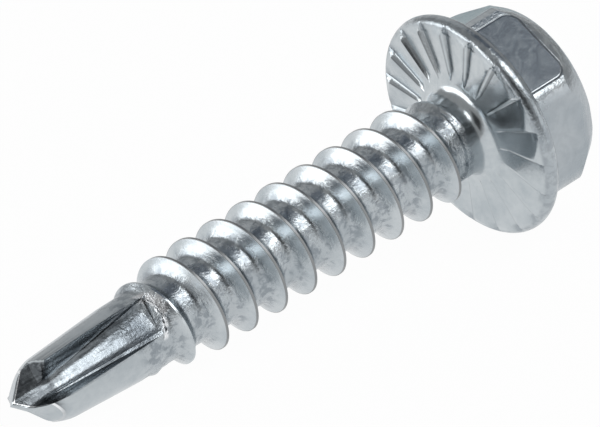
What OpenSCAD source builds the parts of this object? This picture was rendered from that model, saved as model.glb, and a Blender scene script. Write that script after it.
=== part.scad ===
// Self-drilling, self-tapping screw with a hex washer head and a serrated flange, in millimetres.
// It lies on the floor z = 0 as it comes to rest, on the flange rim and the drill point,
// with the head towards +X and the point towards -X.

/* [Thread] */
// Diameter over the thread crests
thread_d = 4.66; // [4.3:0.02:5]
// Diameter at the bottom of the thread groove
core_d = 3.34; // [3:0.02:3.4]
// Distance from one crest to the next
pitch = 1.6; // [1.3:0.05:1.9]
// Width of the rolled crest
crest_w = 0.14; // [0.06:0.02:0.3]
// Distance along the axis over which a flank sinks halfway to the groove
flank_w = 0.16; // [0.08:0.02:0.24]
// Distance along the axis from the crest's edge to the bottom of the groove
groove_side = 0.4; // [0.3:0.02:0.5]
// Where the thread's crest starts under the head, from the bearing plane
thread_start = 0.4; // [0.3:0.1:0.8]
// Where the thread's crest ends at the drill point, from the bearing plane
thread_end = 18.6; // [10:0.1:18.8]
// Turns over which the thread grows to its full height behind the drill point
lead_in_turns = 1.9; // [0.5:0.1:2.5]
// Turns over which the thread runs out under the head
run_out_turns = 1.2; // [0.5:0.1:2]

/* [Shank] */
// Length from the bearing plane to the tip
length = 24.4; // [23:0.1:32]
// Diameter of the plain neck under the head
neck_d = 3.56; // [3.48:0.02:3.8]
// Length of the plain neck from the bearing plane
neck_l = 1.3; // [1.3:0.1:2]
// Radius of the fillet between neck and flange
neck_fillet = 0.6; // [0.3:0.05:0.7]

/* [Drill point] */
// Diameter of the drill part where it leaves the thread
drill_root_d = 3.4; // [3.38:0.02:3.48]
// Diameter over the cutting corners
drill_d = 2.9; // [2.6:0.02:3.2]
// Angle between the two end faces
point_angle = 92; // [80:1:130]
// Distance from the axis to the ridge between the end faces
point_shift = 0.24; // [0:0.02:0.26]
// Length of each flute from the tip to where it leaves the core
flute_l = 7; // [4:0.1:7.4]
// Width of a flute's floor at its head end
flute_root_w = 1.52; // [1.1:0.02:1.7]
// Width of a flute's floor where the web is thinned
flute_tip_w = 0.62; // [0.5:0.02:0.9]
// Angle of the wall behind each flute from the middle plane of the flute
heel_wall_angle = 31; // [25:1:36]
// Angle of the wall under each cutting lip from the middle plane of the flute
lip_wall_angle = 34; // [25:1:40]
// Radius between a flute's floor and its walls
flute_corner_r = 0.2; // [0.05:0.01:0.25]
// Thickness of the web between the flute floors at their head ends
web_root = 2.56; // [1.6:0.02:2.7]
// Thickness of the web where it is thinned
web_mid = 0.54; // [0.44:0.02:0.9]
// Thickness of the web at the tip
web_tip = 0.22; // [0.14:0.02:0.4]
// Length of the thinned web from the tip
thinning_l = 1.8; // [1.4:0.1:2.4]
// Length over which a flute turns into its thinned part
thinning_turn_l = 0.4; // [0.2:0.1:0.8]
// Angle of the heel wall of the thinned part from the middle plane of the flute
thinning_heel_angle = 65; // [60:1:75]
// Slope of the wall that ends a flute, from the axis
flute_end_angle = 55; // [35:1:70]

/* [Head] */
// Width across the hex flats
hex_af = 8; // [7.6:0.02:8.2]
// Diameter over the rounded hex corners
hex_corner_d = 9.04; // [8.9:0.02:9.2]
// Height of the head from the bearing plane to its top
head_h = 4.1; // [3.6:0.05:4.6]
// Height of the hex flats from the bearing plane to the bevel above them
flat_h = 3.34; // [2.8:0.02:3.5]
// Slope of the bevel above each flat, from the axis
flat_bevel_angle = 33; // [25:1:45]
// Diameter of the flat on top of the head
head_top_d = 6.4; // [5.5:0.1:7]
// Slope of the cone that bevels the hex corners, from the axis
bevel_angle = 34; // [25:1:45]
// Radius between the bevel and the flat top
head_edge_r = 0.7; // [0.2:0.05:1]

/* [Flange] */
// Diameter of the flange
flange_d = 10.04; // [9.6:0.02:10.6]
// Radius of the flange's rounded rim
rim_r = 0.42; // [0.3:0.02:0.5]
// Height of the widest part of the rim above the bearing plane
rim_h = 0.52; // [0.45:0.01:0.6]
// Diameter at which the rim starts to round away from the bearing plane
bearing_d = 8.9; // [8.4:0.1:9.1]
// Rise of the flange's upper face from the rim to the hex
flange_rise = 0.4; // [0.1:0.05:0.8]

/* [Serrations] */
// Number of ratchet teeth under the flange
tooth_count = 19; // [12:1:28]
// Depth of a tooth gap at the edge of the bearing plane
tooth_depth = 0.21; // [0.1:0.01:0.3]
// Diameter at which the teeth start
tooth_inner_d = 4.8; // [4.8:0.1:6]
// Share of a tooth's spacing that is its flat crest
tooth_land = 0.08; // [0.02:0.01:0.2]
// Share of a tooth's spacing that is its steep side
tooth_steep = 0.16; // [0.08:0.01:0.3]

/* [Turns about the axis] */
// Turn of a hex corner from straight up
hex_turn = 2; // [-30:1:30]
// Turn of a tooth crest from straight up
tooth_turn = 9; // [0:1:18]
// Turn of the thread's start from straight up
thread_turn = -165; // [-180:1:180]
// Turn of a flute's middle from straight up
flute_turn = -37; // [-90:1:90]
// Turn of an end face's fall line from the middle of its flute
relief_turn = -90; // [-110:1:-30]

/* [Hidden] */
$fn = 96;
// Steps of the thread in one turn
thread_steps = 36;
// Steps along a rounded corner of a section
arc_steps = 8;
// Steps along a rounded corner of a flute
flute_steps = 4;
// Length by which one form runs on inside another, or a cut runs past what it cuts
overlap = 0.5;
zinc = [0.74, 0.77, 0.79];
// Turn of the flange's facets about the axis
rim_facet_turn = 4.4;

thread_r = thread_d / 2;
core_r = core_d / 2;
drill_r = drill_d / 2;
drill_root_r = drill_root_d / 2;
flange_r = flange_d / 2;
bearing_r = bearing_d / 2;
rim_ring_r = flange_r - rim_r;

// Height of the end faces above the cutting corners
point_h = drill_r / tan(point_angle / 2);
// Where the drill part enters the thread, on the axis from the bearing plane
drill_root_z = thread_end - pitch / 2 - overlap / 2;
drill_corner_z = length - point_h;

// Share of the turn into the thinned part up to the point that touches the floor
rest_share = 0.59;

// Tilt at which a circle of radius r at height z on the axis touches the floor with the flange rim
function touch_tilt(r, z) =
    let (drop = rim_ring_r - r, run = z + rim_h)
    atan2(drop, run) + asin(rim_r / sqrt(drop * drop + run * run));
// The drill part touches the floor beside a flute, where the heel wall starts to lie flatter
rest_z = min(drill_corner_z, length - thinning_l + rest_share * thinning_turn_l);
rest_r = drill_r + (drill_root_r - drill_r) * (drill_corner_z - rest_z) / (drill_corner_z - drill_root_z);
last_crest_z = thread_end - pitch * lead_in_turns;
rest_tilt = min(touch_tilt(rest_r, rest_z), touch_tilt(thread_r, last_crest_z));
rest_lift = rim_ring_r * cos(rest_tilt) - rim_h * sin(rest_tilt) + rim_r;
head_reach = head_h * cos(rest_tilt) + head_top_d / 2 * sin(rest_tilt);
tip_reach = length * cos(rest_tilt);

// Points of an arc about a centre, from one angle to another
function arc(centre, r, from, to, steps = arc_steps) =
    [for (i = [0:steps])
        let (a = from + (to - from) * i / steps)
        centre + r * [cos(a), sin(a)]];

// Smooth step from 0 to 1
function ease(t) = let (u = max(0, min(1, t))) u * u * (3 - 2 * u);

// Section of the flange, its neck fillet and the neck, as [radius, height towards the tip]
function flange_section() =
    let (neck_r = neck_d / 2,
         rim_start = atan2(rim_h, bearing_r - rim_ring_r),
         under_angle = rim_start - acos(rim_r / norm([rim_h, bearing_r - rim_ring_r])),
         hex_r = hex_af / 2,
         top_angle = atan2(flange_rise, rim_ring_r - hex_r + overlap))
    concat(
        [[0, -head_h / 2], [hex_r - overlap, -rim_h - rim_r - flange_rise]],
        arc([rim_ring_r, -rim_h], rim_r, -90 - top_angle, under_angle),
        [[bearing_r, 0]],
        arc([neck_r + neck_fillet, neck_fillet], neck_fillet, -90, -180),
        [[neck_r, neck_l], [0, neck_l]]);

// Section that bevels the hex corners and rounds the top, as [radius, height towards the tip]
function head_section() =
    let (top_r = head_top_d / 2,
         turn = 90 - bevel_angle,
         edge = head_edge_r,
         centre = [top_r, edge - head_h],
         shoulder = centre + edge * [cos(bevel_angle), -sin(bevel_angle)],
         corner_r = hex_corner_d / 2,
         corner_z = shoulder[1] + (corner_r - shoulder[0]) / tan(bevel_angle))
    concat(
        [[0, -rim_h], [0, -head_h]],
        arc(centre, edge, -90, -90 + turn),
        [[corner_r, corner_z], [corner_r, -rim_h]]);

// The hex, with a bevel above each flat
module hex_blank() {
    bevel_h = head_h - flat_h;
    top_share = 1 - 2 * bevel_h * tan(flat_bevel_angle) / hex_af;
    rotate([0, 0, hex_turn])
        mirror([0, 0, 1]) {
            translate([0, 0, rim_h])
                linear_extrude(flat_h - rim_h)
                    circle(d = hex_af / cos(30), $fn = 6);
            translate([0, 0, flat_h])
                linear_extrude(bevel_h, scale = top_share)
                    circle(d = hex_af / cos(30), $fn = 6);
        }
}

// The flange is turned about its axis, so that it lies on a facet of its rim
module head() {
    rotate([0, 0, rim_facet_turn])
        rotate_extrude() polygon(flange_section());
    intersection() {
        hex_blank();
        rotate_extrude() polygon(head_section());
    }
}

// One gap between two ratchet teeth, with both its sides in planes through the middle of the bearing plane.
// It falls gently away from one crest and rises steeply to the next, so that the teeth slip as the screw is driven.
module tooth_gap() {
    spacing = 360 / tooth_count;
    land = spacing * tooth_land;
    steep = spacing * tooth_steep;
    ramp = spacing - land - steep;
    slope = tooth_depth / bearing_r;
    // Angle from the bottom of the gap and height, as a share of the radius, of the section's corners.
    // Both sides run on to as high above the bearing plane as the gap is deep.
    corners = [[0, -slope], [2 * steep, slope], [-2 * ramp, slope]];
    points = [for (r = [tooth_inner_d / 2, flange_r + overlap]) for (c = corners)
        r * [cos(c[0]), sin(c[0]), c[1]]];
    rotate([0, 0, tooth_turn - land / 2 - steep])
        polyhedron(points, [[0, 1, 2], [3, 5, 4], [0, 3, 4, 1], [1, 4, 5, 2], [2, 5, 3, 0]]);
}

// The threaded core: a section of one pitch is swept along the helix and closed by a fan at each end
module thread() {
    turns = (thread_end - thread_start) / pitch;
    steps = round(turns * thread_steps);
    depth = thread_r - core_r;
    half_crest = crest_w / 2;
    // Distance from the crest's middle along the axis, and share of the full height
    flanks = [[-pitch / 2, 0], [-half_crest - groove_side, 0.04], [-half_crest - flank_w, 0.5],
              [-half_crest, 1], [half_crest, 1], [half_crest + flank_w, 0.5], [half_crest + groove_side, 0.04]];
    count = len(flanks);

    function height(i) =
        ease(i / thread_steps / run_out_turns) * max(0, min(1, (steps - i) / thread_steps / lead_in_turns));
    function place(i, f) =
        let (a = 360 * i / thread_steps, r = core_r + depth * f[1] * height(i))
        [r * cos(a), r * sin(a), thread_start + pitch * i / thread_steps + f[0]];
    // One point of the grid: past the last point of a section comes the first one of the next turn
    function at(i, j) =
        j == count ? at(i + thread_steps, 0)
        : i <= steps ? i * count + j : (steps + 1) * count + i - steps - 1;

    head_end = (steps + 1) * count + thread_steps;
    points = concat(
        [for (i = [0:steps]) for (f = flanks) place(i, f)],
        [for (i = [steps + 1:steps + thread_steps]) place(i, flanks[0])],
        [[0, 0, thread_start], [0, 0, thread_end]]);
    sides = [for (i = [0:steps - 1]) for (j = [0:count - 1])
        each [[at(i, j), at(i, j + 1), at(i + 1, j + 1)], [at(i, j), at(i + 1, j + 1), at(i + 1, j)]]];
    head_cap = concat(
        [for (i = [0:thread_steps - 1]) [head_end, at(i, 0), at(i + 1, 0)]],
        [for (j = [0:count - 1]) [head_end, at(0, j + 1), at(0, j)]]);
    tip_cap = concat(
        [for (j = [0:count - 1]) [head_end + 1, at(steps, j), at(steps, j + 1)]],
        [for (i = [steps:steps + thread_steps - 1]) [head_end + 1, at(i + 1, 0), at(i, 0)]]);
    rotate([0, 0, thread_turn])
        polyhedron(points, concat(sides, head_cap, tip_cap));
}

// Half the section of a flute, from its floor up a wall at an angle from the middle plane,
// as [out from the floor, sideways]
function flute_half(side, angle) =
    let (r = flute_corner_r,
         top = drill_root_r + overlap,
         start = side + r * tan(angle) - r / cos(angle))
    concat(
        [for (p = arc([0, 0], r, 0, 90 - angle, flute_steps)) [r - p[0], start + p[1]]],
        [[top, side + top * tan(angle)]]);

// A section of a flute on the plane z, with its heel on the +Y side and its lip on the -Y side
function flute_section(z, floor_x, side, heel_angle) =
    let (heel = flute_half(side, heel_angle), lip = flute_half(side, lip_wall_angle))
    concat(
        [for (p = heel) [floor_x + p[0], p[1], z]],
        [for (i = [len(lip) - 1:-1:0]) [floor_x + lip[i][0], -lip[i][1], z]]);

// A flute that lies along +X, ended by a sloping wall. Near the tip its web is thinned, and its
// heel wall lies flatter.
module flute() {
    start_z = length - flute_l;
    thin_z = length - thinning_l;
    reach = 2 * flute_l;
    turned_z = thin_z + thinning_turn_l;
    thinning_slope = (web_mid - web_tip) / 2 / thinning_l;
    turned_floor = web_mid / 2 - thinning_slope * thinning_turn_l;
    end_floor = web_tip / 2 - thinning_slope * overlap;
    root_side = flute_root_w / 2;
    tip_side = flute_tip_w / 2;
    sections = [
        flute_section(start_z, web_root / 2, root_side, heel_wall_angle),
        flute_section(thin_z, web_mid / 2, tip_side, heel_wall_angle),
        flute_section(turned_z, turned_floor, tip_side, thinning_heel_angle),
        flute_section(length + overlap, end_floor, tip_side, thinning_heel_angle)];
    count = len(sections[0]);
    last = len(sections) - 1;
    sides = [for (k = [0:last - 1]) for (i = [0:count - 1])
        let (j = (i + 1) % count, low = k * count, high = low + count)
        each [[low + i, low + j, high + i], [low + j, high + j, high + i]]];
    intersection() {
        polyhedron(
            [for (s = sections) each s],
            concat(sides, [[for (i = [count - 1:-1:0]) i], [for (i = [0:count - 1]) last * count + i]]));
        translate([drill_root_r, -reach / 2, start_z])
            rotate([0, 90 - flute_end_angle, 0])
                translate([-reach, 0, 0])
                    cube([2 * reach, reach, reach]);
    }
}

// The tapered drill part, with two flat end faces that meet in a ridge over the web
module drill_blank() {
    wide = 2 * drill_root_r;
    eaves_z = length - wide / tan(point_angle / 2);
    intersection() {
        rotate_extrude()
            polygon([[0, drill_root_z], [drill_root_r, drill_root_z],
                     [drill_r, drill_corner_z], [drill_r, length], [0, length]]);
        rotate([0, 0, flute_turn + relief_turn])
            translate([-point_shift, wide, 0])
                rotate([90, 0, 0])
                    linear_extrude(2 * wide)
                        polygon([[-wide, drill_root_z - overlap], [wide, drill_root_z - overlap],
                                 [wide, eaves_z], [0, length], [-wide, eaves_z]]);
    }
}

module screw() {
    color(zinc)
        translate([(tip_reach - head_reach) / 2, 0, rest_lift])
            rotate([0, -90 - rest_tilt, 0]) {
                difference() {
                    head();
                    for (i = [0:tooth_count - 1])
                        rotate([0, 0, 360 / tooth_count * i]) tooth_gap();
                }
                difference() {
                    union() {
                        thread();
                        drill_blank();
                    }
                    for (side = [0, 180])
                        rotate([0, 0, flute_turn + side]) flute();
                }
            }
}

screw();
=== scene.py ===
import math

import bmesh
import bpy
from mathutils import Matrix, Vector


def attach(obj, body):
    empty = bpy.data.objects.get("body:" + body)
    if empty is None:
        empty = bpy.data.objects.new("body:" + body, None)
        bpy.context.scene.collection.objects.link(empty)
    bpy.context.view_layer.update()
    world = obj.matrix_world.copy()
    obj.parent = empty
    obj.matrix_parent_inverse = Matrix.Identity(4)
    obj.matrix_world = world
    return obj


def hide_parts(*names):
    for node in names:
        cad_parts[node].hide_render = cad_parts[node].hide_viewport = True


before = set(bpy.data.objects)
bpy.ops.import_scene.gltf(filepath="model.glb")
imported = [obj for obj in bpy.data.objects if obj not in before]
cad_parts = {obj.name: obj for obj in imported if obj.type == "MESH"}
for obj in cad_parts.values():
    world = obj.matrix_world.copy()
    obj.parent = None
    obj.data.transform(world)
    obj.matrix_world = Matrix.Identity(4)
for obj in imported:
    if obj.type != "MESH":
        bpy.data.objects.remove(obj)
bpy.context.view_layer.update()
print("frame loaded:", sorted(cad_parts))

# The screw is modelled standing on its bearing plane in millimetres, with the point up +Z,
# and is laid down and scaled to metres at the end.
metre = 1000        # mm
mergeGap = 0.0005   # mm, points nearer than this are one point
spinSteps = 120     # of a full turn
faceOn = 0.9        # least share of a normal along an axis, for a face that points that way

restPlace = {
    "tilt": 8.68415,                 # degrees that the point dips
    "move": (9.79206, 0, 4.88875),   # mm
}
layAngle = math.radians(-90 - restPlace["tilt"])

camera = {
    "place": (-0.1880322, -0.2180515, 0.1672604),
    "turn": (60.54528, 0.86739, -41.39185),
    "lens": 489.12,
    "sensor": 36,
    "near": 0.01,
    "far": 10,
}


def makeCamera():
    data = bpy.data.cameras.new("camera")
    data.lens = camera["lens"]
    data.sensor_width = camera["sensor"]
    data.clip_start = camera["near"]
    data.clip_end = camera["far"]
    made = bpy.data.objects.new("camera", data)
    made.location = camera["place"]
    made.rotation_euler = [math.radians(a) for a in camera["turn"]]
    bpy.context.scene.collection.objects.link(made)
    bpy.context.scene.camera = made


makeCamera()
print("camera set")


def deselect():
    bpy.ops.object.select_all(action="DESELECT")


def pick(piece):
    deselect()
    piece.select_set(True)
    bpy.context.view_layer.objects.active = piece


# Opens a piece for editing with all of it selected
def openAll(piece):
    pick(piece)
    bpy.ops.object.mode_set(mode="EDIT")
    bpy.ops.mesh.select_all(action="SELECT")


# Opens a piece for editing with the faces or edges selected that a rule picks, and counts them
def openSome(piece, kind, rule):
    pick(piece)
    bpy.ops.object.mode_set(mode="EDIT")
    bpy.ops.mesh.select_mode(type=kind)
    bpy.ops.mesh.select_all(action="DESELECT")
    mesh = bmesh.from_edit_mesh(piece.data)
    parts = mesh.faces if kind == "FACE" else mesh.edges
    for part in parts:
        part.select = rule(part)
    bmesh.update_edit_mesh(piece.data)
    return sum(part.select for part in parts)


def closeEdit():
    bpy.ops.mesh.select_mode(type="VERT")
    bpy.ops.object.mode_set(mode="OBJECT")


def applyPlace(piece):
    pick(piece)
    bpy.ops.object.transform_apply(location=True, rotation=True, scale=True)


def applyModifier(piece, kind, **settings):
    pick(piece)
    modifier = piece.modifiers.new(kind.lower(), kind)
    for key, value in settings.items():
        setattr(modifier, key, value)
    bpy.ops.object.modifier_apply(modifier=modifier.name)


def bevelSharp(piece, width, segments, angle):
    applyModifier(piece, "BEVEL", width=width, segments=segments, limit_method="ANGLE",
                  angle_limit=math.radians(angle))


def combine(piece, other, operation):
    applyModifier(piece, "BOOLEAN", object=other, operation=operation, solver="EXACT")
    bpy.data.objects.remove(other)


def mergePoints(piece):
    openAll(piece)
    bpy.ops.mesh.remove_doubles(threshold=mergeGap)
    closeEdit()


def cleanUp(piece, gap=mergeGap):
    openAll(piece)
    bpy.ops.mesh.remove_doubles(threshold=gap)
    bpy.ops.mesh.normals_make_consistent(inside=False)
    closeEdit()


# Cuts a piece along a plane, drops the side behind or before it, and closes the cut
def cutOff(piece, place, normal, behind):
    openAll(piece)
    bpy.ops.mesh.bisect(plane_co=place, plane_no=normal, use_fill=True,
                        clear_inner=behind, clear_outer=not behind)
    closeEdit()


# A line of points is drawn by extruding one corner from point to point
def drawLine(name, points):
    deselect()
    bpy.ops.mesh.primitive_plane_add(size=1, location=(0, 0, 0))
    piece = bpy.context.object
    piece.name = name
    openAll(piece)
    bpy.ops.mesh.merge(type="CENTER")
    bpy.ops.transform.translate(value=points[0])
    for before, after in zip(points, points[1:]):
        step = Vector(after) - Vector(before)
        bpy.ops.mesh.extrude_region_move(TRANSFORM_OT_translate={"value": step})
    closeEdit()
    return piece


def spinLine(piece, steps=spinSteps, angle=math.tau):
    openAll(piece)
    bpy.ops.mesh.spin(steps=steps, angle=angle, center=(0, 0, 0), axis=(0, 0, 1))
    closeEdit()


def joinAll(pieces):
    pick(pieces[0])
    for piece in pieces[1:]:
        piece.select_set(True)
    bpy.ops.object.join()
    return pieces[0]


def arc(centre, radius, start, end, steps):
    points = []
    for i in range(steps + 1):
        a = math.radians(start + (end - start) * i / steps)
        points.append((centre[0] + radius * math.cos(a), 0, centre[1] + radius * math.sin(a)))
    return points


# Direction across the axis, at a turn in degrees from straight up
def heading(turn):
    return math.cos(math.radians(turn)), math.sin(math.radians(turn))


def easeStep(t):
    t = min(1, max(0, t))
    return t * t * (3 - 2 * t)


flange = {
    "radius": 5.02,
    "rimRadius": 0.42,
    "rimHeight": 0.52,
    "bearingRadius": 4.45,
    "rise": 0.4,             # of the upper face, from the rim to the hex
    "hexRadius": 4.0,
    "hexLap": 0.5,           # by which the upper face runs on inside the hex
    "middle": 2,             # height of the upper face's middle, inside the hex
    "neckRadius": 1.78,
    "neckLength": 1.3,
    "filletRadius": 0.6,
    "rimSteps": 14,
    "slopeSteps": 4,         # between the rim and the bearing plane
    "bearingSteps": 8,
    "filletSteps": 10,
    "teeth": 19,
    "toothSteps": 24,
    "toothDepth": 0.21,      # at the edge of the bearing plane
    "toothInner": 2.38,
    "toothFull": 2.7,        # radius at which a gap has its full share of the depth
    "toothLand": 0.08,       # share of a tooth's spacing, as is toothSteep
    "toothSteep": 0.11,
    "turn": 9,
}


# Depth of a tooth gap as a share, at a share of the way round one tooth from the middle of its crest
def toothShape(share):
    land = flange["toothLand"] / 2
    steep = flange["toothSteep"]
    share = share % 1
    if share < land or share > 1 - land:
        return 0
    if share > 1 - land - steep:
        return (1 - land - share) / steep
    return (share - land) / (1 - 2 * land - steep)


# The flange's half section, from the middle of its upper face round the rim to the end of the neck
def flangeLine():
    rimRadius = flange["rimRadius"]
    rimHeight = flange["rimHeight"]
    bearing = flange["bearingRadius"]
    ring = flange["radius"] - rimRadius
    rimStart = math.degrees(math.atan2(rimHeight, bearing - ring))
    reach = math.hypot(rimHeight, bearing - ring)
    underAngle = rimStart - math.degrees(math.acos(rimRadius / reach))
    inner = flange["hexRadius"] - flange["hexLap"]
    topAngle = math.degrees(math.atan2(flange["rise"], ring - inner))
    neck = flange["neckRadius"]
    fillet = flange["filletRadius"]
    points = [(0, 0, -flange["middle"]), (inner, 0, -rimHeight - rimRadius - flange["rise"])]
    points += arc((ring, -rimHeight), rimRadius, -90 - topAngle, underAngle, flange["rimSteps"])
    edge = points[-1]
    for k in range(1, flange["slopeSteps"] + 1):
        share = k / flange["slopeSteps"]
        points.append((edge[0] + (bearing - edge[0]) * share, 0, edge[2] * (1 - share)))
    for k in range(1, flange["bearingSteps"] + 1):
        share = k / flange["bearingSteps"]
        points.append((bearing + (neck + fillet - bearing) * share, 0, 0))
    points += arc((neck + fillet, fillet), fillet, -90, -180, flange["filletSteps"])[1:]
    points += [(neck, 0, flange["neckLength"]), (0, 0, flange["neckLength"])]
    return points


# One tooth's share of the flange is spun and shaped, and its copies make the ring
def makeFlange():
    spacing = math.tau / flange["teeth"]
    inner = flange["toothInner"]
    sector = drawLine("flange", flangeLine())
    spinLine(sector, flange["toothSteps"], spacing)
    for v in sector.data.vertices:
        r = math.hypot(v.co.x, v.co.y)
        if r < inner or v.co.z < -flange["rimHeight"]:
            continue
        share = (math.atan2(v.co.y, v.co.x) % math.tau) / spacing
        start = easeStep((r - inner) / (flange["toothFull"] - inner))
        depth = flange["toothDepth"] * r / flange["bearingRadius"] * start * toothShape(share)
        v.co.z = min(v.co.z, -depth)
    copies = []
    for k in range(1, flange["teeth"]):
        copy = sector.copy()
        copy.data = sector.data.copy()
        bpy.context.scene.collection.objects.link(copy)
        copy.rotation_euler.z = k * spacing
        copies.append(copy)
    joinAll([sector] + copies)
    sector.rotation_euler.z = math.radians(flange["turn"])
    applyPlace(sector)
    cleanUp(sector)
    return sector


hexHead = {
    "sides": 6,
    "acrossFlats": 8.0,
    "cornerRadius": 4.52,
    "height": 4.1,
    "flatHeight": 3.34,
    "base": 0.52,            # height of its underside, inside the flange
    "flatBevel": 33,         # degrees from the axis, as is cornerBevel
    "topRadius": 3.2,
    "cornerBevel": 34,
    "edgeRadius": 0.7,
    "edgeSteps": 8,
    "domeLap": 0.2,          # by which the dome runs past the underside
    "turn": 2,
    "sideRise": 0.3,         # an edge that rises more than this runs along a corner
    "cornerEdge": 0.5,
    "cornerSegments": 8,
    "upperFrom": 4,          # the upper corner is further out than this, and is less worn
    "sharpEdge": 0.12,       # of the upper corner
    "sharpSegments": 4,
    "sharpAngle": 40,        # degrees between the faces of a corner that is not yet rounded
    "wideEdge": 0.22,
    "wideSegments": 4,
    "wideAngle": 20,         # least degrees between faces, as is softAngle
    "softEdge": 0.1,
    "softSegments": 3,
    "softAngle": 18,
    "borderHalf": 1.8,       # of a flat, from its middle
    "borderTop": 3.15,
    "borderRadius": 0.6,
}
halfSide = 180 / hexHead["sides"]    # degrees


def runsUp(edge):
    return abs(edge.verts[0].co.z - edge.verts[1].co.z) > hexHead["sideRise"]


def makeHexBlank():
    flats = hexHead["acrossFlats"]
    base = hexHead["base"]
    flatHeight = hexHead["flatHeight"]
    rise = hexHead["height"] - flatHeight
    share = 1 - 2 * rise * math.tan(math.radians(hexHead["flatBevel"])) / flats
    deselect()
    bpy.ops.mesh.primitive_cylinder_add(
        vertices=hexHead["sides"], radius=flats / 2 / math.cos(math.radians(halfSide)),
        depth=flatHeight - base, location=(0, 0, -(flatHeight + base) / 2),
        rotation=(0, 0, math.radians(hexHead["turn"] - halfSide)))
    blank = bpy.context.object
    blank.name = "hexBlank"
    applyPlace(blank)
    openSome(blank, "FACE", lambda face: face.normal.z < -faceOn)
    bpy.ops.mesh.extrude_region_move(TRANSFORM_OT_translate={"value": (0, 0, -rise)})
    bpy.ops.transform.resize(value=(share, share, 1), center_override=(0, 0, 0))
    closeEdit()
    openSome(blank, "EDGE", lambda edge: runsUp(edge) and edge.verts[0].co.x < hexHead["upperFrom"])
    bpy.ops.mesh.bevel(offset=hexHead["cornerEdge"], segments=hexHead["cornerSegments"], affect="EDGES")
    closeEdit()
    sharp = math.radians(hexHead["sharpAngle"])
    openSome(blank, "EDGE", lambda edge: runsUp(edge) and edge.calc_face_angle() > sharp)
    bpy.ops.mesh.bevel(offset=hexHead["sharpEdge"], segments=hexHead["sharpSegments"], affect="EDGES")
    closeEdit()
    bevelSharp(blank, hexHead["wideEdge"], hexHead["wideSegments"], hexHead["wideAngle"])
    return blank


# A dome that bevels the corners and rounds the edge of the flat top
def makeDome():
    edge = hexHead["edgeRadius"]
    lean = math.radians(hexHead["cornerBevel"])
    centre = (hexHead["topRadius"], edge - hexHead["height"])
    shoulder = (centre[0] + edge * math.cos(lean), centre[1] - edge * math.sin(lean))
    corner = hexHead["cornerRadius"]
    cornerZ = shoulder[1] + (corner - shoulder[0]) / math.tan(lean)
    low = hexHead["domeLap"] - hexHead["base"]
    points = [(0, 0, -hexHead["height"])]
    points += arc(centre, edge, -90, -hexHead["cornerBevel"], hexHead["edgeSteps"])
    points += [(corner, 0, cornerZ), (corner, 0, low), (0, 0, low)]
    dome = drawLine("hexDome", points)
    spinLine(dome)
    cleanUp(dome)
    return dome


def makeHex():
    blank = makeHexBlank()
    combine(blank, makeDome(), "INTERSECT")
    bevelSharp(blank, hexHead["softEdge"], hexHead["softSegments"], hexHead["softAngle"])
    cleanUp(blank)
    return blank


thread = {
    "crestRadius": 2.33,
    "coreRadius": 1.67,
    "pitch": 1.6,
    "start": 0.4,
    "end": 18.6,
    "crestWidth": 0.1,
    # Distance along the axis from the crest's edge, and share of the full height
    "flank": [(0, 1), (0.05, 0.86), (0.17, 0.52), (0.26, 0.27),
              (0.32, 0.145), (0.38, 0.065), (0.46, 0.02), (0.56, 0)],
    "leadIn": 1.9,           # turns, as are runOut and spareTurns
    "runOut": 1.2,
    "spareTurns": 2,
    "stepsPerTurn": 108,
    "lowCut": 0.2,           # where the shank is cut off, inside the neck
    "highCut": 18.9,         # and inside the drill
    "turn": -165,
}


def makeThread():
    pitch = thread["pitch"]
    half = thread["crestWidth"] / 2
    core = thread["coreRadius"]
    high = thread["crestRadius"] - core
    first = thread["start"] - pitch
    tipSide = [(half + d, share) for d, share in thread["flank"]]
    headSide = [(-d, share) for d, share in reversed(tipSide)]
    section = [(-pitch / 2, 0)] + headSide + tipSide + [(pitch / 2, 0)]
    piece = drawLine("thread", [(core + high * share, 0, first + d) for d, share in section])
    turns = (thread["end"] - thread["start"]) / pitch
    wholeTurns = math.ceil(turns) + thread["spareTurns"]
    applyModifier(piece, "SCREW", axis="Z", angle=math.tau, screw_offset=pitch, iterations=wholeTurns,
                  steps=thread["stepsPerTurn"], render_steps=thread["stepsPerTurn"],
                  use_merge_vertices=True, merge_threshold=mergeGap)
    for v in piece.data.vertices:
        around = (math.atan2(v.co.y, v.co.x) / math.tau) % 1
        along = (v.co.z - thread["start"]) / pitch
        turn = around + round(along - around)
        share = easeStep(turn / thread["runOut"]) * max(0, min(1, (turns - turn) / thread["leadIn"]))
        r = math.hypot(v.co.x, v.co.y)
        grown = core + (r - core) * share
        v.co.x *= grown / r
        v.co.y *= grown / r
    piece.rotation_euler.z = math.radians(thread["turn"])
    applyPlace(piece)
    mergePoints(piece)
    cutOff(piece, (0, 0, thread["lowCut"]), (0, 0, 1), behind=True)
    cutOff(piece, (0, 0, thread["highCut"]), (0, 0, 1), behind=False)
    cleanUp(piece)
    return piece


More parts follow.
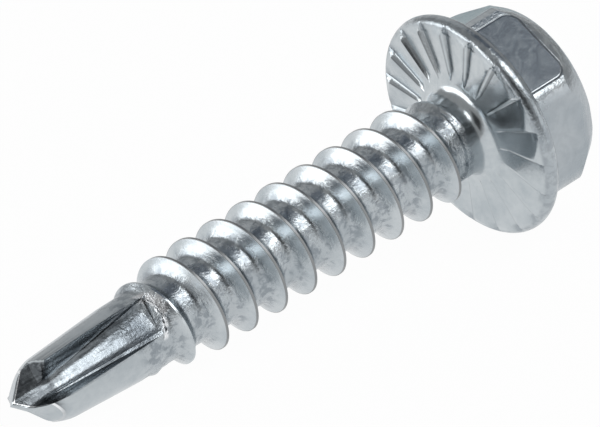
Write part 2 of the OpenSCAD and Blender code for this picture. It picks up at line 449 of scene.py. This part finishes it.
drill = {
    "rootRadius": 1.69,
    "rootEnd": 18.95,        # where the taper starts
    "tipRadius": 1.45,
    "rootZ": 17.55,
    "length": 24.4,
    "pointAngle": 92,
    "pointShift": 0.24,
    "turn": -37,
    "reliefTurn": -90,
    "endRise": 0.6,          # an end face's normal rises more than this
    "landRise": 0.3,         # and a land's normal less than this
    "cornerEdge": 0.6,       # rounding between the end faces and the lands
    "cornerSegments": 6,
    "cornerClear": 0.6,      # below the ridge, clear of its ends
    "cornerFall": 0.46,      # of the rounding inside the lands, for each mm squared up it
    "fluteEndAngle": 55,
    "fluteShare": 0.55,      # radius of a flute's corners, as a share of its floor's width
    "fluteSteps": 6,
    "wallTop": 2.2,          # of a flute, over its floor and past the lands
    "softEdge": 0.06,
    "softSegments": 2,
    "softAngle": 24,         # least degrees between faces
    "softFrom": 0.3,         # past the start of the taper
    "burrEdge": 0.07,
    "burrSegments": 2,
    "burrReach": 0.15,
    "burrSeed": 4,
    "burrInner": 1.5,        # least distance from the axis
    "burrBack": 1,           # most distance before a flute's start
    "burrNear": 0.005,       # most distance off the plane that ends a flute
}

# Sections of a flute: distance from the tip, height of the floor off the axis, its width,
# and the angles of the heel's and the lip's walls from the middle plane
fluteSections = [
    {"back": 7.0, "floor": 1.28, "width": 1.52, "heel": 31, "lip": 34},
    {"back": 1.8, "floor": 0.27, "width": 0.62, "heel": 31, "lip": 34},
    {"back": 1.7, "floor": 0.261, "width": 0.62, "heel": 37, "lip": 34},
    {"back": 1.6, "floor": 0.252, "width": 0.62, "heel": 46, "lip": 34},
    {"back": 1.5, "floor": 0.243, "width": 0.62, "heel": 56, "lip": 34},
    {"back": 1.4, "floor": 0.234, "width": 0.62, "heel": 65, "lip": 34},
    {"back": -0.5, "floor": 0.066, "width": 0.62, "heel": 65, "lip": 34},
]
fluteStart = drill["length"] - fluteSections[0]["back"]
halfPoint = math.radians(drill["pointAngle"] / 2)
fluteLean = math.radians(drill["fluteEndAngle"])
cornerHeight = drill["length"] - drill["tipRadius"] / math.tan(halfPoint)   # of the cutting corners


def makeDrill():
    length = drill["length"]
    root = drill["rootRadius"]
    taper = (root - drill["tipRadius"]) / (cornerHeight - drill["rootEnd"])
    points = [(0, 0, drill["rootZ"]), (root, 0, drill["rootZ"]), (root, 0, drill["rootEnd"]),
              (drill["tipRadius"] - taper * (length - cornerHeight), 0, length), (0, 0, length)]
    blank = drawLine("drill", points)
    spinLine(blank)
    cleanUp(blank)
    fall = Vector((*heading(drill["turn"] + drill["reliefTurn"]), 0))
    ridge = fall * -drill["pointShift"] + Vector((0, 0, length))
    for side in (1, -1):
        normal = fall * side * math.cos(halfPoint) + Vector((0, 0, math.sin(halfPoint)))
        cutOff(blank, ridge, normal, behind=False)
    cleanUp(blank)

    def onCorner(edge):
        rises = [face.normal.z for face in edge.link_faces]
        clear = max(v.co.z for v in edge.verts) < length - drill["cornerClear"]
        return max(rises) > drill["endRise"] and abs(min(rises)) < drill["landRise"] and clear

    openSome(blank, "EDGE", onCorner)
    bpy.ops.mesh.bevel(offset=drill["cornerEdge"], segments=drill["cornerSegments"], affect="EDGES")
    closeEdit()
    return blank


# Half a flute's section from its floor up one wall, as (out from the floor, sideways)
def fluteHalf(width, angle):
    lean = math.radians(angle)
    r = drill["fluteShare"] * width
    top = drill["wallTop"]
    side = width / 2 + r * math.tan(lean) - r / math.cos(lean)
    points = [(r - x, side + y) for x, _, y in arc((0, 0), r, 0, 90 - angle, drill["fluteSteps"])]
    points.append((top, width / 2 + top * math.tan(lean)))
    return points


def fluteSection(sizes):
    heel = fluteHalf(sizes["width"], sizes["heel"])
    lip = fluteHalf(sizes["width"], sizes["lip"])
    z = drill["length"] - sizes["back"]
    return [(sizes["floor"] + x, y, z) for x, y in heel + [(x, -y) for x, y in reversed(lip)]]


def drawLoop(name, points):
    loop = drawLine(name, points)
    bpy.ops.object.mode_set(mode="EDIT")
    bpy.ops.mesh.select_mode(type="EDGE")
    bpy.ops.mesh.select_all(action="SELECT")
    bpy.ops.mesh.edge_face_add()
    bpy.ops.mesh.delete(type="ONLY_FACE")
    closeEdit()
    return loop


# The walls of a flute are bridged from section to section, and both ends are closed
def makeTrough():
    lengths = []
    for sizes in zip(fluteSections, fluteSections[1:]):
        walls = joinAll([drawLoop("flute", fluteSection(each)) for each in sizes])
        openAll(walls)
        bpy.ops.mesh.bridge_edge_loops()
        closeEdit()
        lengths.append(walls)
    trough = joinAll(lengths)
    openAll(trough)
    bpy.ops.mesh.remove_doubles(threshold=mergeGap)
    bpy.ops.mesh.fill_holes(sides=0)
    closeEdit()
    cleanUp(trough)
    return trough


def makeFlute(side):
    groove = makeTrough()
    place = (drill["rootRadius"], 0, fluteStart)
    cutOff(groove, place, (math.cos(fluteLean), 0, math.sin(fluteLean)), behind=True)
    cleanUp(groove)
    groove.rotation_euler.z = math.radians(drill["turn"]) + side * math.pi
    applyPlace(groove)
    return groove


# The cutting edges and the flutes' edges are a little rounded by the plating
def softenPoint(piece):
    low = drill["rootEnd"] + drill["softFrom"]
    least = math.radians(drill["softAngle"])

    def isSharp(edge):
        sharp = len(edge.link_faces) == 2 and edge.calc_face_angle() > least
        return sharp and min(v.co.z for v in edge.verts) > low

    openSome(piece, "EDGE", isSharp)
    bpy.ops.mesh.bevel(offset=drill["softEdge"], segments=drill["softSegments"], affect="EDGES",
                       clamp_overlap=True)
    closeEdit()


# Distance off the plane that ends a flute, at a distance out along the flute's middle and a height
def offFluteEnd(out, z):
    return (out - drill["rootRadius"]) * math.cos(fluteLean) + (z - fluteStart) * math.sin(fluteLean)


# The metal is torn up where a flute ends in the thread
def raiseBurrs(piece):
    midX, midY = heading(drill["turn"])

    def isTorn(edge):
        outer = min(math.hypot(v.co.x, v.co.y) for v in edge.verts) > drill["burrInner"]
        near = min(v.co.z for v in edge.verts) > fluteStart - drill["burrBack"]
        off = [offFluteEnd(abs(v.co.x * midX + v.co.y * midY), v.co.z) for v in edge.verts]
        return outer and near and max(abs(d) for d in off) < drill["burrNear"]

    edges = openSome(piece, "EDGE", isTorn)
    bpy.ops.mesh.bevel(offset=drill["burrEdge"], segments=drill["burrSegments"], affect="EDGES",
                       clamp_overlap=True)
    bpy.ops.transform.vertex_random(offset=drill["burrReach"], normal=1, seed=drill["burrSeed"])
    closeEdit()
    print("burrs:", edges, "edges")


finishing = {
    "fineGap": 0.00002,      # mm, because a wider gap pinches the joins
    "smoothAngle": 28,
}


def makeScrew():
    shank = makeThread()
    combine(shank, makeDrill(), "UNION")
    for side in (0, 1):
        combine(shank, makeFlute(side), "DIFFERENCE")
    softenPoint(shank)
    print("shank:", len(shank.data.polygons), "faces")
    head = makeHex()
    combine(head, makeFlange(), "UNION")
    print("head:", len(head.data.polygons), "faces")
    combine(head, shank, "UNION")
    cleanUp(head, finishing["fineGap"])
    raiseBurrs(head)
    head.name = "zincScrew"
    head.data.name = "zincScrew"
    head.rotation_euler.y = layAngle
    head.location = Vector(restPlace["move"]) / metre
    head.scale = (1 / metre, 1 / metre, 1 / metre)
    applyPlace(head)
    bpy.ops.object.shade_smooth_by_angle(angle=math.radians(finishing["smoothAngle"]))
    applyModifier(head, "WEIGHTED_NORMAL", mode="FACE_AREA", keep_sharp=True)
    return head


screw = makeScrew()
print("screw:", len(screw.data.polygons), "faces")


class Value:
    def __init__(self, tree, socket):
        self.tree = tree
        self.socket = socket

    def math(self, operation, other=0):
        return addNode(self.tree, "ShaderNodeMath", {"operation": operation}, 0, **{"0": self, "1": other})

    def __add__(self, other):
        return self.math("ADD", other)

    __radd__ = __add__

    def __mul__(self, other):
        return self.math("MULTIPLY", other)

    __rmul__ = __mul__

    def __sub__(self, other):
        return self.math("SUBTRACT", other)

    def __rsub__(self, other):
        return (self * -1) + other

    # 0 below the first place, 1 above the second, and smooth between
    def between(self, low, high):
        return addNode(self.tree, "ShaderNodeMapRange", {"interpolation_type": "SMOOTHSTEP"}, 0,
                       Value=self, From_Min=low, From_Max=high)


def addNode(tree, kind, settings=None, output=0, **inputs):
    made = tree.nodes.new(kind)
    for key, value in (settings or {}).items():
        setattr(made, key, value)
    for key, value in inputs.items():
        socket = made.inputs[int(key)] if key.isdigit() else made.inputs[key.replace("_", " ")]
        if isinstance(value, Value):
            tree.links.new(value.socket, socket)
        else:
            socket.default_value = value
    return Value(tree, made.outputs[output]) if made.outputs else None


def mixColour(factor, first, second):
    return addNode(factor.tree, "ShaderNodeMix", {"data_type": "RGBA"}, "Result",
                   **{"0": factor, "6": first, "7": second})


zinc = {
    "bright": (0.54, 0.578, 0.6, 1),
    "dull": (0.425, 0.47, 0.5, 1),
    "crestShade": (0.22, 0.22, 0.22, 1),      # painted dark reflection along the thread's crest
    "dullAndShade": (0.2, 0.23, 0.26, 1),     # painted shade on the hex's flats, in the thread's roots and the flutes and on the rim; dull plating in the hex's swirls; darker lands
    "streakAndShade": (0.04, 0.046, 0.052, 1),    # darker streaks in the flutes, and painted shade on the thinned web, in lines on the teeth and along the upper flat's border
    "burrGlint": (0.86, 0.88, 0.9, 1),       # painted highlight along the cutting lips, and where metal is torn
    "roughness": 0.2,
    "depth": 0.00002,                   # of the bumps
    "bumpStrength": 1.0,
    "metallic": 1.0,
    "streakScale": (1, 1, 0.06),        # streaks run along the axis
    # Each noise, with as many grains to a metre as its Scale
    "grain": {"Scale": 8000.0, "Detail": 3.0, "Roughness": 0.6},
    "wrinkle": {"Scale": 2600.0, "Detail": 4.0, "Roughness": 0.65, "Distortion": 0.3},
    "cloud": {"Scale": 420.0, "Detail": 5.0, "Roughness": 0.6},
    "swirl": {"Scale": 800.0, "Detail": 4.0, "Roughness": 0.6, "Distortion": 2.5},
    "streak": {"Scale": 4500.0, "Detail": 3.0, "Roughness": 0.6},
}

# Where each mask of the plating starts and is full
zincSteps = {
    # Heights on the standing screw in mm
    "threadFrom": (0.6, 1.2),
    "threadTo": (18.6, 19.2),
    "fluteFrom": (17.5, 18.2),
    "fluteFade": (18.5, 22.2),
    "landFrom": (18.8, 19.2),
    "thinFrom": (22.3, 22.6),
    "tornFrom": (16.5, 16.6),
    "tornTo": (18.8, 19.0),
    "underFrom": (-0.5, -0.4),
    "underTo": (0.05, 0.1),
    "rimFrom": (-1.1, -1.0),
    "rimTo": (-0.2, -0.1),
    "hexTo": (-1.2, -1.0),
    # Distances from the axis
    "rootOut": (1.72, 2.15),
    "crestOut": (2.285, 2.325),
    "tornOut": (1.5, 1.6),
    "toothOut": (2.5, 2.8),
    "rimOut": (4.45, 4.6),
    "upperFlat": (3.8, 3.9),
    # Distances from an end face, the lands, a flute's end plane and middle, and a flat's border
    "endFace": (0.07, 0.09),
    "lipLine": (0.13, 0.16),
    "fluteIn": (0.03, 0.14),
    "tornOff": (0.06, 0.16),
    "tornSide": (1.0, 1.15),
    "borderLine": (0.02, 0.07),
    "borderPast": (0.0, 0.06),
    # Shares of a tooth's spacing
    "gapLine": (0.02, 0.07),
    "topLine": (0.012, 0.035),
    # Levels of a noise
    "toneCloud": (0.3, 0.62),
    "gapCloud": (0.42, 0.58),
    "toneWrinkle": (0.35, 0.62),
    "tornWrinkle": (0.38, 0.5),
    "rootWrinkle": (0.38, 0.54),
    "rimWrinkle": (0.4, 0.6),
    "thinWrinkle": (0.38, 0.58),
    "hexSwirl": (0.4, 0.6),
    "fluteStreak": (0.48, 0.62),
}

# How much each mask brings
zincAmounts = {
    # Of a colour
    "cloudTone": 0.75,
    "wrinkleTone": 0.25,
    # Painted shade on the hex's flats, and dull plating in their swirls
    "hexDullAndShade": 0.34,
    "upperLess": 0.3,        # the upper flat gets less painted shade
    "hexSwirl": 0.06,
    "upperSwirl": 0.3,       # and more swirled
    # Painted shade in the thread's roots, mottled
    "rootShade": 0.2,
    "rootWrinkle": 0.5,
    # A painted dark band on the rim, mottled, standing for a dark reflection
    "rimShade": 0.2,
    "rimWrinkle": 0.35,
    # The lands a little darker
    "landDarker": 0.16,
    # Painted shade in the flutes, fading towards the point
    "fluteShade": 0.75,
    "fluteFade": 0.4,
    "streakDark": 0.6,
    # Painted shade on the thinned web
    "thinShade": 0.58,
    "thinWrinkle": 0.25,
    # Painted shade along the upper flat's border
    "borderShade": 0.5,
    # Painted shade in lines at each tooth's steep side
    "gapShade": 0.16,
    "gapCloud": 0.36,
    "topShade": 0.27,
    # A painted dark reflection along the thread's crest
    "crestShadeShare": 0.75,
    # Of coarseness, which raises roughness and bumps
    "rootCoarse": 0.8,
    "fluteCoarse": 0.6,
    "hexCoarse": 0.1,
    "flatCoarse": 0.4,
    "rimCoarse": 0.1,
    # Of roughness
    "toneRough": 0.08,
    "coarseRough": 0.05,
    "crestRough": 0.2,
    # Of bumps
    "grainBump": 0.16,
    "coarseBump": 0.9,
    "rootBump": 1.5,
    "tornBump": 2,
    "rimBump": 1.6,
    "borderBump": 0.5,
    "swirlBump": 0.3,
}


def ramp(value, name):
    return value.between(*zincSteps[name])


# Places on the standing screw in mm, and the noises
def findPlaces(tree):
    place = addNode(tree, "ShaderNodeTexCoord", output="Object")
    standing = addNode(tree, "ShaderNodeMapping", {"vector_type": "TEXTURE"}, Vector=place,
                       Location=Vector(restPlace["move"]) / metre, Rotation=(0, layAngle, 0))
    split = addNode(tree, "ShaderNodeSeparateXYZ", Vector=standing)
    x, y, z = [Value(tree, out) * metre for out in split.socket.node.outputs]
    at = {"x": x, "y": y, "z": z, "radius": (x * x + y * y).math("SQRT"), "around": y.math("ARCTAN2", x)}
    for name in ("grain", "wrinkle", "cloud", "swirl"):
        at[name] = addNode(tree, "ShaderNodeTexNoise", Vector=place, **zinc[name])
    stretched = addNode(tree, "ShaderNodeMapping", Vector=standing, Scale=zinc["streakScale"])
    at["streak"] = addNode(tree, "ShaderNodeTexNoise", Vector=stretched, **zinc["streak"])
    return at


# The roots get painted shade, and the crest a painted dark reflection
def threadMasks(at):
    onThread = ramp(at["z"], "threadFrom") * (1 - ramp(at["z"], "threadTo"))
    root = (1 - ramp(at["radius"], "rootOut")) * onThread
    crest = ramp(at["radius"], "crestOut") * onThread
    return {"root": root, "crest": crest}


def drillMasks(at):
    x, y, z, radius = at["x"], at["y"], at["z"], at["radius"]
    # The end faces, by the distance below their planes
    fallX, fallY = heading(drill["turn"] + drill["reliefTurn"])
    across = (x * fallX + y * fallY + drill["pointShift"]).math("ABSOLUTE")
    below = drill["length"] - z - across * (1 / math.tan(halfPoint))
    onEnd = 1 - ramp(below, "endFace")
    # The lands taper, and are rounded off at the end faces
    taper = (z - drill["rootEnd"]) * (1 / (cornerHeight - drill["rootEnd"]))
    taper = taper.math("MAXIMUM", 0).math("MINIMUM", 1)
    rounding = (drill["cornerEdge"] - below).math("MAXIMUM", 0)
    land = drill["rootRadius"] - taper * (drill["rootRadius"] - drill["tipRadius"])
    land = land - rounding * rounding * drill["cornerFall"]
    # The flutes and the thinned web get painted shade, and the web's cutting lip a painted highlight
    flute = ramp(land - radius, "fluteIn") * ramp(z, "fluteFrom") * (1 - onEnd)
    thinned = flute * ramp(z, "thinFrom")
    lip = thinned * (1 - ramp(below, "lipLine"))
    # Torn metal along the planes that end the flutes, bumped and painted with a highlight
    midX, midY = heading(drill["turn"])
    out = (x * midX + y * midY).math("ABSOLUTE")
    sideways = (y * midX - x * midY).math("ABSOLUTE")
    torn = (1 - ramp(offFluteEnd(out, z).math("ABSOLUTE"), "tornOff")) * ramp(radius, "tornOut")
    torn = torn * ramp(z, "tornFrom") * (1 - ramp(z, "tornTo")) * (1 - ramp(sideways, "tornSide"))
    torn = torn * ramp(at["wrinkle"], "tornWrinkle")
    onLand = ramp(z, "landFrom") * (1 - flute)
    return {"flute": flute, "thinned": thinned, "lip": lip, "torn": torn, "onLand": onLand}


# Lines of painted shade at the foot and along the top of each tooth's steep side, and the rim, which gets
# a painted dark band
def flangeMasks(at):
    z, radius = at["z"], at["radius"]
    turned = at["around"] - math.radians(flange["turn"])
    share = (turned * (flange["teeth"] / math.tau)).math("FRACT")
    top = 1 - flange["toothLand"] / 2
    foot = top - flange["toothSteep"]
    underside = ramp(radius, "toothOut") * (1 - ramp(radius, "rimOut"))
    underside = underside * ramp(z, "underFrom") * (1 - ramp(z, "underTo"))
    gapLine = (1 - ramp((share - foot).math("ABSOLUTE"), "gapLine")) * underside
    topLine = (1 - ramp((share - top).math("ABSOLUTE"), "topLine")) * underside
    onRim = ramp(radius, "rimOut") * ramp(z, "rimFrom") * (1 - ramp(z, "rimTo"))
    return {"gapLine": gapLine, "topLine": topLine, "onRim": onRim}


# The rounded border of each hex flat, by the distance along the flat and up the head; along the upper flat
# it is a line of painted shade
def hexMasks(at):
    x, y, z = at["x"], at["y"], at["z"]
    sideAngle = math.tau / hexHead["sides"]
    corner = hexHead["borderRadius"]
    onHex = 1 - ramp(z, "hexTo")
    turned = at["around"] - math.radians(hexHead["turn"])
    fromMiddle = ((turned * (1 / sideAngle)).math("FRACT") - 0.5) * sideAngle
    along = (at["radius"] * fromMiddle.math("SINE")).math("ABSOLUTE")
    right = (along - (hexHead["borderHalf"] - corner)).math("MAXIMUM", 0)
    above = (-1 * z - (hexHead["borderTop"] - corner)).math("MAXIMUM", 0)
    outside = (right * right + above * above).math("SQRT") - corner
    upX, upY = heading(hexHead["turn"] - halfSide)
    onUpper = ramp(x * upX + y * upY, "upperFlat")
    border = (1 - ramp(outside.math("ABSOLUTE"), "borderLine")) * onHex * onUpper
    aroundFlat = ramp(outside, "borderPast") * onHex
    return {"onHex": onHex, "onUpper": onUpper, "border": border, "aroundFlat": aroundFlat}


def zincColour(at, masks, tone):
    much = zincAmounts
    wrinkle = at["wrinkle"]
    onUpper = masks["onUpper"]
    # Painted shade on the hex's flats, less on the upper one, and dull plating in the swirls
    swirled = ramp(at["swirl"], "hexSwirl") * (much["hexSwirl"] + much["upperSwirl"] * onUpper)
    hexDullAndShade = masks["onHex"] * (much["hexDullAndShade"] - much["upperLess"] * onUpper + swirled)
    # Painted shade in the roots, mottled
    rootMottledShade = much["rootWrinkle"] * (1 - ramp(wrinkle, "rootWrinkle"))
    rootShade = masks["root"] * (much["rootShade"] + rootMottledShade)
    # A painted dark band on the rim
    rimShade = masks["onRim"] * (much["rimShade"] + much["rimWrinkle"] * ramp(wrinkle, "rimWrinkle"))
    # Painted shade in the flutes
    fluteShade = masks["flute"] * (much["fluteShade"] - ramp(at["z"], "fluteFade") * much["fluteFade"])
    streaks = masks["flute"] * ramp(at["streak"], "fluteStreak") * much["streakDark"]
    # Painted shade on the thinned web
    thinShade = masks["thinned"] * (much["thinShade"] + much["thinWrinkle"] * ramp(wrinkle, "thinWrinkle"))
    # Painted shade in lines at the teeth
    gapShade = masks["gapLine"] * (much["gapShade"] + much["gapCloud"] * ramp(at["cloud"], "gapCloud"))
    # The painted shade on the web, along the upper flat's border and at the teeth
    shadeLines = thinShade + masks["border"] * much["borderShade"] + gapShade + masks["topLine"] * much["topShade"]
    # Each layer lies over those before it
    layers = [
        (hexDullAndShade, "dullAndShade"),
        (rootShade, "dullAndShade"),
        (rimShade, "dullAndShade"),
        # The lands, a little darker
        (masks["onLand"] * much["landDarker"], "dullAndShade"),
        (fluteShade, "dullAndShade"),
        (streaks, "streakAndShade"),
        (shadeLines, "streakAndShade"),
        # Painted highlights along the cutting lips and the torn ends
        ((masks["lip"] + masks["torn"]).math("MINIMUM", 1), "burrGlint"),
        # A painted dark reflection along the crest
        (masks["crest"] * much["crestShadeShare"], "crestShade"),
    ]
    colour = mixColour(tone, zinc["dull"], zinc["bright"])
    for mask, name in layers:
        colour = mixColour(mask, colour, zinc[name])
    return colour


def zincHeight(at, masks, coarse):
    much = zincAmounts
    wrinkled = masks["root"] * much["rootBump"] + masks["torn"] * much["tornBump"]
    wrinkled = wrinkled + masks["aroundFlat"] + masks["onRim"] * much["rimBump"]
    height = at["grain"] * (much["grainBump"] + coarse * much["coarseBump"]) + at["wrinkle"] * wrinkled
    swirled = at["swirl"] * masks["onUpper"] * masks["onHex"] * much["swirlBump"]
    return height - masks["border"] * much["borderBump"] + swirled


def makeZinc():
    material = bpy.data.materials.new("zincPlate")
    material.use_nodes = True
    tree = material.node_tree
    tree.nodes.clear()
    much = zincAmounts
    at = findPlaces(tree)
    masks = {**threadMasks(at), **drillMasks(at), **flangeMasks(at), **hexMasks(at)}
    tone = ramp(at["cloud"], "toneCloud") * much["cloudTone"]
    tone = tone + ramp(at["wrinkle"], "toneWrinkle") * much["wrinkleTone"]
    coarse = masks["root"] * much["rootCoarse"] + masks["flute"] * much["fluteCoarse"]
    coarse = coarse + masks["onHex"] * much["hexCoarse"] + masks["aroundFlat"] * much["flatCoarse"]
    coarse = coarse + masks["onRim"] * much["rimCoarse"]
    shine = zinc["roughness"] + (1 - tone) * much["toneRough"] + coarse * much["coarseRough"]
    shine = shine + masks["crest"] * much["crestRough"]
    bump = addNode(tree, "ShaderNodeBump", Strength=zinc["bumpStrength"], Distance=zinc["depth"],
                   Height=zincHeight(at, masks, coarse))
    shader = addNode(tree, "ShaderNodeBsdfPrincipled", Base_Color=zincColour(at, masks, tone),
                     Roughness=shine, Normal=bump, Metallic=zinc["metallic"])
    addNode(tree, "ShaderNodeOutputMaterial", Surface=shader)
    return material


screw.data.materials.clear()
screw.data.materials.append(makeZinc())
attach(screw, "root")
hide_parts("screw")
print("zinc plate done")


studio = {
    "floorSize": 8.0,
    "floorDrop": 0.00002,    # keeps the floor just clear of the screw
    "floorColour": (0.9, 0.9, 0.9, 1),
    "floorGlow": 0.97,       # share of plain white that the camera and reflections see in the floor
    "white": (1, 1, 1, 1),
    "glow": 1.0,
    "world": 0.38,
}

# Each softbox and flag: the way to it from the screw, its distance, its width and height,
# and the light of a softbox or the colour of a flag
softboxes = {
    "leftBox": {"way": (-0.78, 0.6, 0.19), "away": 0.35, "wide": 0.4, "high": 0.18, "light": 2.4},
    "frontBox": {"way": (0.338, -0.434, 0.808), "away": 0.35, "wide": 0.16, "high": 0.2, "light": 2.6},
    "fluteBox": {"way": (0.0, -0.442, 0.897), "away": 0.35, "wide": 0.15, "high": 0.13, "light": 3.0},
    "backBox": {"way": (0.43, 0.76, 0.48), "away": 0.35, "wide": 0.2, "high": 0.3, "light": 0.25},
    "rightBox": {"way": (0.573, -0.64, 0.216), "away": 0.35, "wide": 0.3, "high": 0.16, "light": 0.8},
}
flags = {
    "topFlag": {"way": (0.4, 0.12, 0.9), "away": 0.28, "wide": 0.2, "high": 0.2,
                "shade": (0.2, 0.23, 0.28, 1)},
    "lensFlag": {"way": (-0.57, -0.658, 0.491), "away": 0.5, "wide": 0.4, "high": 0.3,
                 "shade": (0.05, 0.05, 0.05, 1)},
    "lowFlag": {"way": (0.86, 0.51, 0.06), "away": 0.036, "wide": 0.03, "high": 0.006,
                "shade": (0.52, 0.66, 0.7, 1)},
}


def aim(piece, sizes):
    way = Vector(sizes["way"]).normalized()
    piece.location = way * sizes["away"]
    piece.rotation_euler = way.to_track_quat("Z", "Y").to_euler()


def makeFloor():
    deselect()
    bpy.ops.mesh.primitive_plane_add(size=studio["floorSize"], location=(0, 0, -studio["floorDrop"]))
    floor = bpy.context.object
    floor.name = "floor"
    material = bpy.data.materials.new("paleFloor")
    material.use_nodes = True
    tree = material.node_tree
    tree.nodes.clear()
    kinds = ("Is Camera Ray", "Is Glossy Ray", "Is Transmission Ray")
    rays = [addNode(tree, "ShaderNodeLightPath", output=kind) for kind in kinds]
    seen = (rays[0] + rays[1] + rays[2]) * studio["floorGlow"]
    card = addNode(tree, "ShaderNodeBsdfDiffuse", Color=studio["floorColour"])
    glow = addNode(tree, "ShaderNodeEmission", Color=studio["white"], Strength=studio["glow"])
    mixed = addNode(tree, "ShaderNodeMixShader", **{"0": seen, "1": card, "2": glow})
    addNode(tree, "ShaderNodeOutputMaterial", Surface=mixed)
    floor.data.materials.append(material)


def makeSoftbox(name, sizes):
    lamp = bpy.data.lights.new(name, "AREA")
    lamp.shape = "RECTANGLE"
    lamp.size = sizes["wide"]
    lamp.size_y = sizes["high"]
    lamp.energy = sizes["light"] * math.pi * sizes["wide"] * sizes["high"]
    box = bpy.data.objects.new(name, lamp)
    bpy.context.scene.collection.objects.link(box)
    aim(box, sizes)


def makeFlag(name, sizes):
    deselect()
    bpy.ops.mesh.primitive_plane_add(size=1)
    card = bpy.context.object
    card.name = name
    card.scale = (sizes["wide"], sizes["high"], 1)
    aim(card, sizes)
    card.visible_camera = False
    cloth = bpy.data.materials.new(name)
    cloth.use_nodes = True
    shader = cloth.node_tree.nodes["Principled BSDF"]
    shader.inputs["Base Color"].default_value = sizes["shade"]
    shader.inputs["Roughness"].default_value = 1
    card.data.materials.append(cloth)


def makeStudio():
    makeFloor()
    for name, sizes in softboxes.items():
        makeSoftbox(name, sizes)
    for name, sizes in flags.items():
        makeFlag(name, sizes)
    world = bpy.data.worlds.new("studio")
    bpy.context.scene.world = world
    world.use_nodes = True
    world.node_tree.nodes["Background"].inputs["Color"].default_value = studio["white"]
    world.node_tree.nodes["Background"].inputs["Strength"].default_value = studio["world"]


makeStudio()
bpy.context.scene.view_settings.view_transform = "Standard"
print("studio set")
